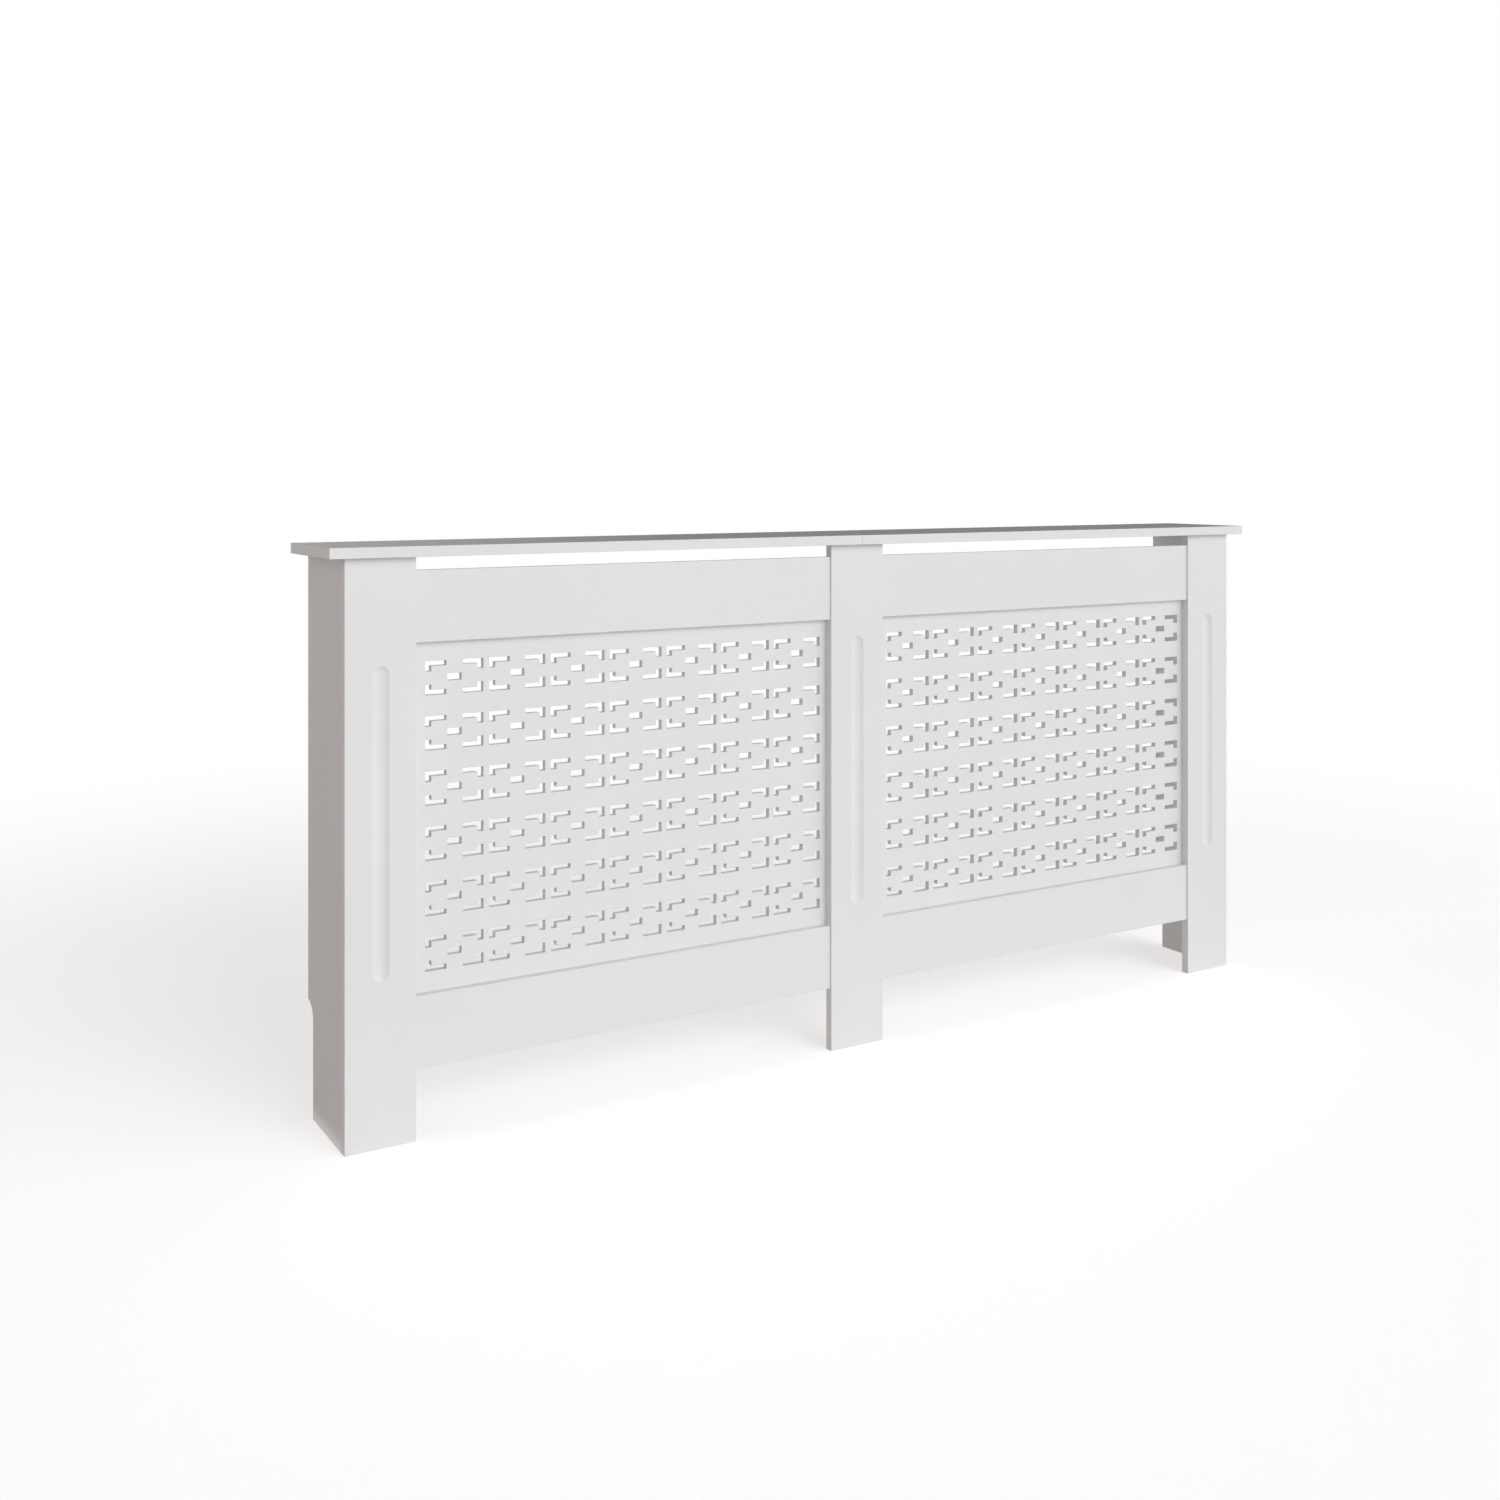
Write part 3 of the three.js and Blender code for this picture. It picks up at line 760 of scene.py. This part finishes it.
def screw_shape(length):
    """A screw along Z: the head's seat is at zero and the point is at the length given."""
    shape = bmesh.new()
    rings = []
    flat = SCREW_HEAD_RADIUS * SCREW_DOME_FLAT
    rise = SCREW_HEAD_HEIGHT - SCREW_HEAD_SIDE
    for step in range(SCREW_DOME_STEPS + 1):
        turn = math.pi / 2 * step / SCREW_DOME_STEPS
        radius = flat + (SCREW_HEAD_RADIUS - flat) * math.sin(turn)
        rings.append(screw_ring(shape, -SCREW_HEAD_SIDE - rise * math.cos(turn), lambda _: radius))
    rings.append(screw_ring(shape, 0, lambda _: SCREW_HEAD_RADIUS))
    row = SCREW_PITCH / SCREW_ROWS_PER_TURN
    rings.append(screw_ring(shape, 0, lambda _: SCREW_ROOT))
    count = int(length / row)
    for step in range(1, count):
        z = step * row
        rings.append(screw_ring(shape, z, lambda turn: thread_radius(z, turn, length)))
    join_rings(shape, rings)
    shape.faces.new(list(reversed(rings[0])))
    point = shape.verts.new((0, 0, length))
    for i in range(SCREW_SIDES):
        shape.faces.new((rings[-1][i], rings[-1][(i + 1) % SCREW_SIDES], point))
    for across in (0, math.pi / 2):
        slot = bmesh.new()
        bmesh.ops.create_cube(slot, size=1)
        for vert in slot.verts:
            narrow = RECESS_TAPER if vert.co.z > 0 else 1
            vert.co.x *= RECESS_LENGTH * narrow
            vert.co.y *= RECESS_WIDTH * (1 + narrow) / 2
            vert.co.z *= 2 * RECESS_DEPTH
            vert.co.z -= SCREW_HEAD_HEIGHT
        slot.transform(Matrix.Rotation(across, 4, "Z"))
        shape = cut_away(shape, slot)
    shape.normal_update()
    for edge in shape.edges:
        edge.smooth = edge.calc_face_angle(0) < SMOOTH_ANGLE
    return shape


def screw_place(node):
    """The place of a screw built along Z. The head's end is the one with more of the points."""
    length, _, middle = along_longest_side(node)
    points = [v.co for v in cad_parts[node].data.vertices]
    inwards = middle.inverted() @ (sum(points, Vector()) / len(points))
    head_end = -1 if inwards.z < 0 else 1
    turn = Matrix.Identity(4) if head_end < 0 else Matrix.Rotation(math.pi, 4, "X")
    return middle @ turn @ Matrix.Translation((0, 0, SCREW_HEAD_HEIGHT - length / 2))


screw_nodes = sorted(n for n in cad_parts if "screw" in n)
screw_length = along_longest_side(screw_nodes[0])[0] - SCREW_HEAD_HEIGHT
screw_mesh = make_mesh("pan_head_screw", screw_shape(screw_length), [zinc])
for node in screw_nodes:
    add_piece(f"{node}_threaded", screw_mesh, node, screw_place(node))


# ---- Floor ------------------------------------------------------------------------------------
# A white studio sweep. It glows white to the camera and in reflections, and still takes the
# cabinet's soft shadow. Away from the cabinet it fades into the plain white background.

FLOOR_SIZE = 400.0  # so wide that no lamp shines up past its edge
FLOOR_WHITE = "#fcfcfc"
FLOOR_GREY = "#e8e8e8"
FLOOR_GLOW = 0.445
FADE_START = 1.6
FADE_END = 3.2


def seen_directly(tree):
    """One where the camera, a reflection or a clear material looks, and zero for other light."""
    rays = add_node(tree, "ShaderNodeLightPath").outputs
    camera_or_glossy = add_node(
        tree,
        "ShaderNodeMath",
        {0: rays["Is Camera Ray"], 1: rays["Is Glossy Ray"]},
        operation="MAXIMUM",
    ).outputs[0]
    return add_node(
        tree,
        "ShaderNodeMath",
        {0: camera_or_glossy, 1: rays["Is Transmission Ray"]},
        operation="MAXIMUM",
    ).outputs[0]


material, tree, output = new_material("white_studio_sweep")
seen = seen_directly(tree)
place = add_node(tree, "ShaderNodeTexCoord").outputs["Object"]
distance = add_node(tree, "ShaderNodeVectorMath", {0: place}, operation="LENGTH").outputs["Value"]
fade = add_node(
    tree,
    "ShaderNodeMapRange",
    {"Value": distance, "From Min": FADE_START, "From Max": FADE_END},
    interpolation_type="SMOOTHSTEP",
).outputs["Result"]
fade_seen = add_node(tree, "ShaderNodeMath", {0: fade, 1: seen}, operation="MULTIPLY").outputs[0]
glow = add_node(
    tree, "ShaderNodeMapRange", {"Value": fade, "To Min": FLOOR_GLOW, "To Max": 1.0}
).outputs["Result"]
strength = add_node(tree, "ShaderNodeMath", {0: glow, 1: seen}, operation="MULTIPLY").outputs[0]
emission = add_node(tree, "ShaderNodeEmission", {"Color": (1, 1, 1, 1), "Strength": strength})
tone = add_node(
    tree,
    "ShaderNodeMix",
    {"Factor": seen, "A": linear(FLOOR_GREY), "B": linear(FLOOR_WHITE)},
    data_type="RGBA",
)
matt = add_node(tree, "ShaderNodeBsdfDiffuse", {"Color": tone.outputs[2]})
nothing = add_node(tree, "ShaderNodeBsdfDiffuse", {"Color": (0, 0, 0, 1)})
lit = add_node(tree, "ShaderNodeMixShader", {0: fade_seen, 1: matt.outputs[0], 2: nothing.outputs[0]})
surface = add_node(tree, "ShaderNodeAddShader", {0: emission.outputs[0], 1: lit.outputs[0]})
tree.links.new(surface.outputs[0], output.inputs["Surface"])

shape = bmesh.new()
bmesh.ops.create_grid(shape, x_segments=1, y_segments=1, size=FLOOR_SIZE / 2)
floor_mesh = bpy.data.meshes.new("floor")
shape.to_mesh(floor_mesh)
shape.free()
floor_mesh.materials.append(material)
floor = bpy.data.objects.new("floor", floor_mesh)
bpy.context.scene.collection.objects.link(floor)
floor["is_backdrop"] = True


# ---- Light ------------------------------------------------------------------------------------
# A pale neutral room for the fill, two wide soft lamps in front and two faint warm ones on the left.
# Reflections show the white room and no lamp. Three glowing cards that only reflections see take its
# place here and there and paint darker reflections: a graded one behind the cabinet paints a darker
# sheen on the shelf top, and two by its left end paint a darker sheen on the left side panel,
# darkest towards the floor.

ROOM_FILL = (0.255, 0.265, 0.27)
ROOM_WHITE = (1, 1, 1)
LAMP_DISTANCE = 4.0
SHELF_REFLECTION_LEFT = "#979593"
SHELF_REFLECTION_RIGHT = "#303030"
SIDE_REFLECTION_LOW = "#968e87"
SIDE_REFLECTION_HIGH = "#a39c97"
CARD_LEFT = -4.0
CARD_HEIGHT = 0.8  # a little under the shelf
SHELF_CARD_BACK = 0.45
SHELF_CARD_RIGHT = 6.0
SHELF_CARD_TOP = 3.0
SIDE_CARD_RIGHT = -0.845  # just clear of the left side panel
SIDE_CARD_BACK = 0.18
SIDE_CARD_FRONT = -1.0
CARD_OFF_FLOOR = 1 * MM

world = bpy.data.worlds.new("studio")
bpy.context.scene.world = world
world.use_nodes = True
tree = world.node_tree
tree.nodes.clear()
room = add_node(
    tree,
    "ShaderNodeMix",
    {"Factor": seen_directly(tree), "A": (*ROOM_FILL, 1), "B": (*ROOM_WHITE, 1)},
    data_type="RGBA",
)
backdrop = add_node(tree, "ShaderNodeBackground", {"Color": room.outputs[2]})
add_node(tree, "ShaderNodeOutputWorld", {"Surface": backdrop.outputs[0]})


def add_lamp(name, azimuth, elevation, spread, level, colour):
    """A soft lamp far away, with its angles in degrees. Azimuth turns from straight in front towards
    the right, and a level of one lights a facing white surface to white."""
    lamp_data = bpy.data.lights.new(name, "SUN")
    lamp_data.angle = math.radians(spread)
    lamp_data.energy = level * math.pi
    lamp_data.color = colour
    lamp = bpy.data.objects.new(name, lamp_data)
    turn = math.radians(azimuth)
    rise = math.radians(elevation)
    to_lamp = Vector(
        (math.sin(turn) * math.cos(rise), -math.cos(turn) * math.cos(rise), math.sin(rise))
    )
    lamp.rotation_mode = "QUATERNION"
    lamp.rotation_quaternion = to_lamp.to_track_quat("Z", "Y")
    lamp.location = to_lamp * LAMP_DISTANCE
    lamp.visible_glossy = False
    bpy.context.scene.collection.objects.link(lamp)


add_lamp(
    "front_lamp", azimuth=12, elevation=16, spread=45, level=0.51, colour=(0.97, 1.0, 1.02)
)
add_lamp(
    "right_lamp", azimuth=55, elevation=13, spread=40, level=0.24, colour=(1.1, 1.0, 0.92)
)
add_lamp(
    "left_lamp", azimuth=-60, elevation=15, spread=60, level=0.10, colour=(1.15, 1.0, 0.87)
)
add_lamp(
    "left_back_lamp", azimuth=-130, elevation=15, spread=60, level=0.11, colour=(1.28, 1.0, 0.8)
)


def add_card(name, low, high, tones, axis, grade):
    """A glowing card that only reflections see, flat along the axis in which its two corners agree.
    It paints a reflection of its tone on the glossy paint that faces it. Its tone goes from the first
    to the second along one axis, between the two places of the grade."""
    material, tree, output = new_material(name)
    place = add_node(tree, "ShaderNodeTexCoord").outputs["Object"]
    along = add_node(tree, "ShaderNodeSeparateXYZ", {"Vector": place}).outputs[axis]
    share = add_node(
        tree, "ShaderNodeMapRange", {"Value": along, "From Min": grade[0], "From Max": grade[1]}
    ).outputs["Result"]
    tone = add_node(
        tree,
        "ShaderNodeMix",
        {"Factor": share, "A": linear(tones[0]), "B": linear(tones[1])},
        data_type="RGBA",
    )
    glow = add_node(tree, "ShaderNodeEmission", {"Color": tone.outputs[2]})
    tree.links.new(glow.outputs[0], output.inputs["Surface"])
    shape = bmesh.new()
    wide, tall = [i for i in range(3) if low[i] != high[i]]
    corners = [Vector(low) for _ in range(4)]
    for corner in (1, 2):
        corners[corner][wide] = high[wide]
    for corner in (2, 3):
        corners[corner][tall] = high[tall]
    shape.faces.new([shape.verts.new(corner) for corner in corners])
    mesh = bpy.data.meshes.new(name)
    shape.to_mesh(mesh)
    shape.free()
    mesh.materials.append(material)
    card = bpy.data.objects.new(name, mesh)
    card.visible_camera = False
    card.visible_diffuse = False
    card.visible_transmission = False
    card.visible_shadow = False
    bpy.context.scene.collection.objects.link(card)
    card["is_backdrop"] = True


# Painted reflection: the shelf top mirrors this card, grey on the left to near black on the right, so
# its sheen darkens along the shelf.
add_card(
    "shelf_painted_reflection_card",
    low=(CARD_LEFT, SHELF_CARD_BACK, CARD_HEIGHT),
    high=(SHELF_CARD_RIGHT, SHELF_CARD_BACK, SHELF_CARD_TOP),
    tones=(SHELF_REFLECTION_LEFT, SHELF_REFLECTION_RIGHT),
    axis="X",
    grade=(-0.75, -0.05),
)
# Painted reflection: the left side panel mirrors these two cards, darker near the floor, so its sheen
# darkens towards the bottom.
add_card(
    "side_painted_reflection_card",
    low=(CARD_LEFT, SIDE_CARD_BACK, 0),
    high=(SIDE_CARD_RIGHT, SIDE_CARD_BACK, CARD_HEIGHT),
    tones=(SIDE_REFLECTION_LOW, SIDE_REFLECTION_HIGH),
    axis="Z",
    grade=(0, 0.7),
)
add_card(
    "side_floor_painted_reflection_card",
    low=(CARD_LEFT, SIDE_CARD_FRONT, CARD_OFF_FLOOR),
    high=(SIDE_CARD_RIGHT, SIDE_CARD_BACK, CARD_OFF_FLOOR),
    tones=(SIDE_REFLECTION_LOW, SIDE_REFLECTION_LOW),
    axis="Y",
    grade=(SIDE_CARD_FRONT, 0),
)


# ---- Camera -----------------------------------------------------------------------------------
# It stands left of the cabinet, a little above the shelf, and looks level, so uprights stay
# upright. The shift lowers the cabinet in the frame.

CAMERA_PLACE = (-1.4947, -2.2501, 0.9227)
CAMERA_TURN = math.radians(-30.81)
SENSOR_WIDTH = 36.0
FOCAL_LENGTH = 39.317
FRAME_SIDE = 1500
HORIZON_ROW = 470.9  # counted from the top of the frame

camera_data = bpy.data.cameras.new("camera")
camera_data.sensor_width = SENSOR_WIDTH
camera_data.lens = FOCAL_LENGTH
camera_data.shift_y = (HORIZON_ROW - FRAME_SIDE / 2) / FRAME_SIDE
camera = bpy.data.objects.new("camera", camera_data)
camera.location = CAMERA_PLACE
camera.rotation_euler = (math.pi / 2, 0, CAMERA_TURN)
bpy.context.scene.collection.objects.link(camera)
bpy.context.scene.camera = camera
bpy.context.scene.view_settings.view_transform = "Standard"

low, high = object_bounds()
